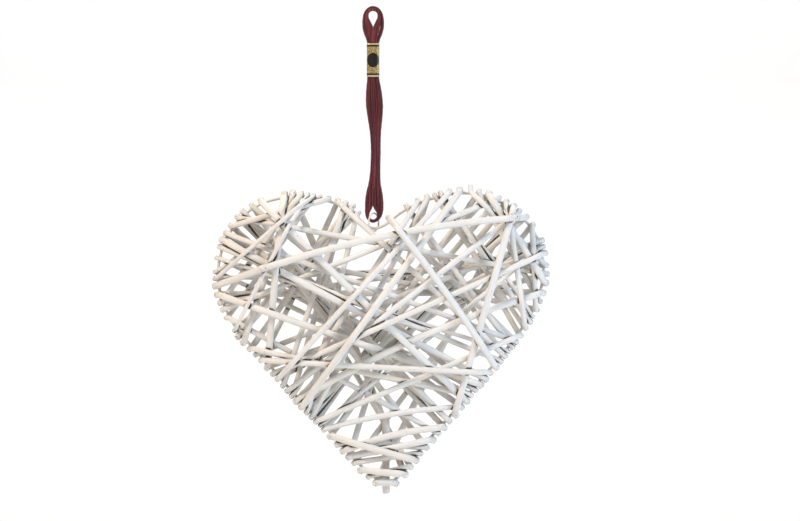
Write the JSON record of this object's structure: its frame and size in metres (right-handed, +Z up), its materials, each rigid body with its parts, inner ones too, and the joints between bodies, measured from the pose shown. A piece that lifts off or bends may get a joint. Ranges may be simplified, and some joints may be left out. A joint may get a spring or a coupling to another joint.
{
  "type": "wicker heart ornament",
  "caption": "Heart-shaped wire frame wound on both faces with white-painted willow rods, hung by a folded skein of thread through a small ring at its notch.",
  "frame": {"origin": "top of the skein's upper eye, where a nail or hook bears", "axes": "+Z up along the hanging line, -Y out of the front of the heart, +X to the right as seen from the front"},
  "size_m": [0.2506, 0.0722, 0.3625],
  "materials": {
    "painted_willow": "satin off-white paint over peeled willow, with dark pores and specks where it is thin",
    "painted_wire": "the same off-white paint on bare steel wire",
    "maroon_thread": "soft sheen of stranded cotton, loosely twisted",
    "band_paper": "gold-printed paper with dark stripes and a plain dark oval"
  },
  "bodies": {
    "root": {"frame_wire": "painted_wire", "hanging_ring": "painted_wire", "paper_band": "band_paper", "thread_skein": "maroon_thread", "tip_peg": "painted_willow", "willow_rod_01": "painted_willow", "willow_rod_02": "painted_willow", "willow_rod_03": "painted_willow", "willow_rod_04": "painted_willow", "willow_rod_05": "painted_willow", "willow_rod_06": "painted_willow", "willow_rod_07": "painted_willow", "willow_rod_08": "painted_willow", "willow_rod_09": "painted_willow", "willow_rod_10": "painted_willow", "willow_rod_11": "painted_willow", "willow_rod_12": "painted_willow", "willow_rod_13": "painted_willow", "willow_rod_14": "painted_willow", "willow_rod_15": "painted_willow", "willow_rod_16": "painted_willow", "willow_rod_17": "painted_willow", "willow_rod_18": "painted_willow", "willow_rod_19": "painted_willow", "willow_rod_20": "painted_willow"}
  },
  "joints": []
}
